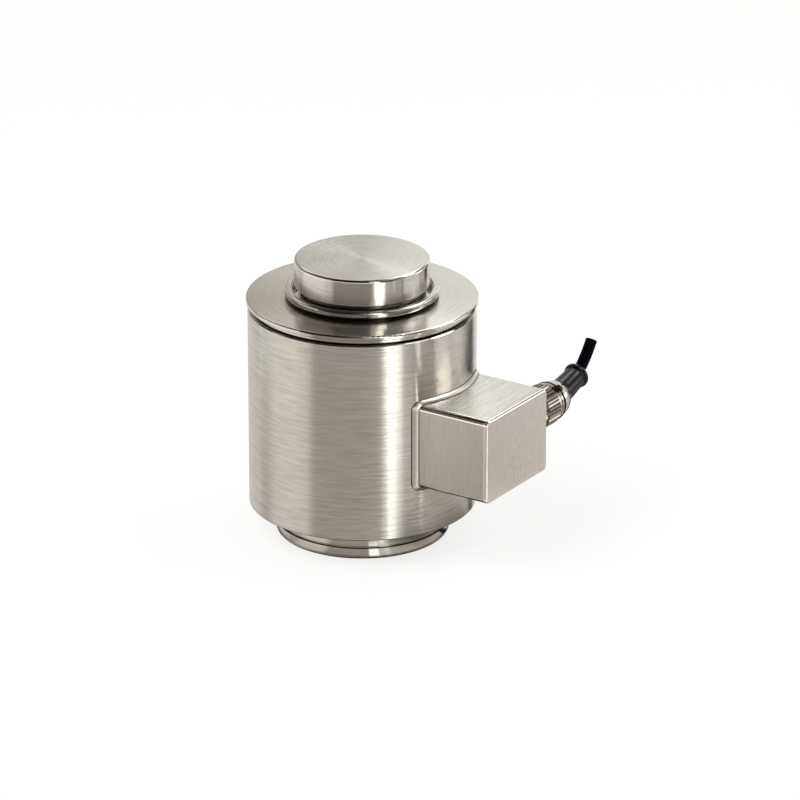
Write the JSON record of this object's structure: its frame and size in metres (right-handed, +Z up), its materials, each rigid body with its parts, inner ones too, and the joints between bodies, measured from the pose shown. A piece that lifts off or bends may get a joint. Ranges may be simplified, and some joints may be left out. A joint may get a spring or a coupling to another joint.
{
  "type": "column load cell",
  "caption": "Upright cylindrical compression load cell with a raised round load button, a welded side junction box and a cable gland with a short cable.",
  "frame": {"origin": "on the column's axis at the underside of its foot", "axes": "+Z up along the column's axis, +X towards the junction box, +Y the way the cable leaves the box"},
  "size_m": [0.1356, 0.1408, 0.131],
  "materials": {
    "turned_steel": "fine turned stainless steel",
    "casing_steel": "stainless steel brushed round the tube",
    "thin_steel": "thin formed stainless steel",
    "box_steel": "stainless sheet with straight brush lines",
    "weld_steel": "dressed weld bead",
    "gland_metal": "nickel plated",
    "black_rubber": "matt black",
    "boot_rubber": "satin black",
    "cable_sheath": "satin black",
    "wire_coat": "plain wire insulation",
    "circuit_board": "solder mask",
    "insulator": "white insulating plastic",
    "brass": "plain",
    "copper_tin": "tinned",
    "gauge_film": "amber film",
    "resistor_body": "lacquer"
  },
  "bodies": {
    "root": {"load_column": "turned_steel", "casing": "casing_steel", "top_plate": "turned_steel", "bottom_plate": "turned_steel", "top_diaphragm": "thin_steel", "strain_gauges": "gauge_film", "gauge_terminals": "copper_tin", "gauge_leads": "wire_coat", "bridge_board": "circuit_board", "board_posts": "brass", "port_bushing": "insulator", "box_harness": "wire_coat", "box_shell": "box_steel", "box_end_plate": "box_steel", "box_weld": "weld_steel", "terminal_board": "circuit_board", "board_standoffs": "brass", "trim_resistors": "resistor_body", "solder_pins": "copper_tin", "gland_body": "gland_metal", "gland_face_seal": "black_rubber", "gland_lock_nut": "gland_metal", "gland_seal": "black_rubber", "gland_washer": "gland_metal", "gland_ring": "black_rubber", "gland_cap": "gland_metal", "cable_boot": "boot_rubber", "cable": "cable_sheath", "cable_cores": "wire_coat"}
  },
  "joints": []
}
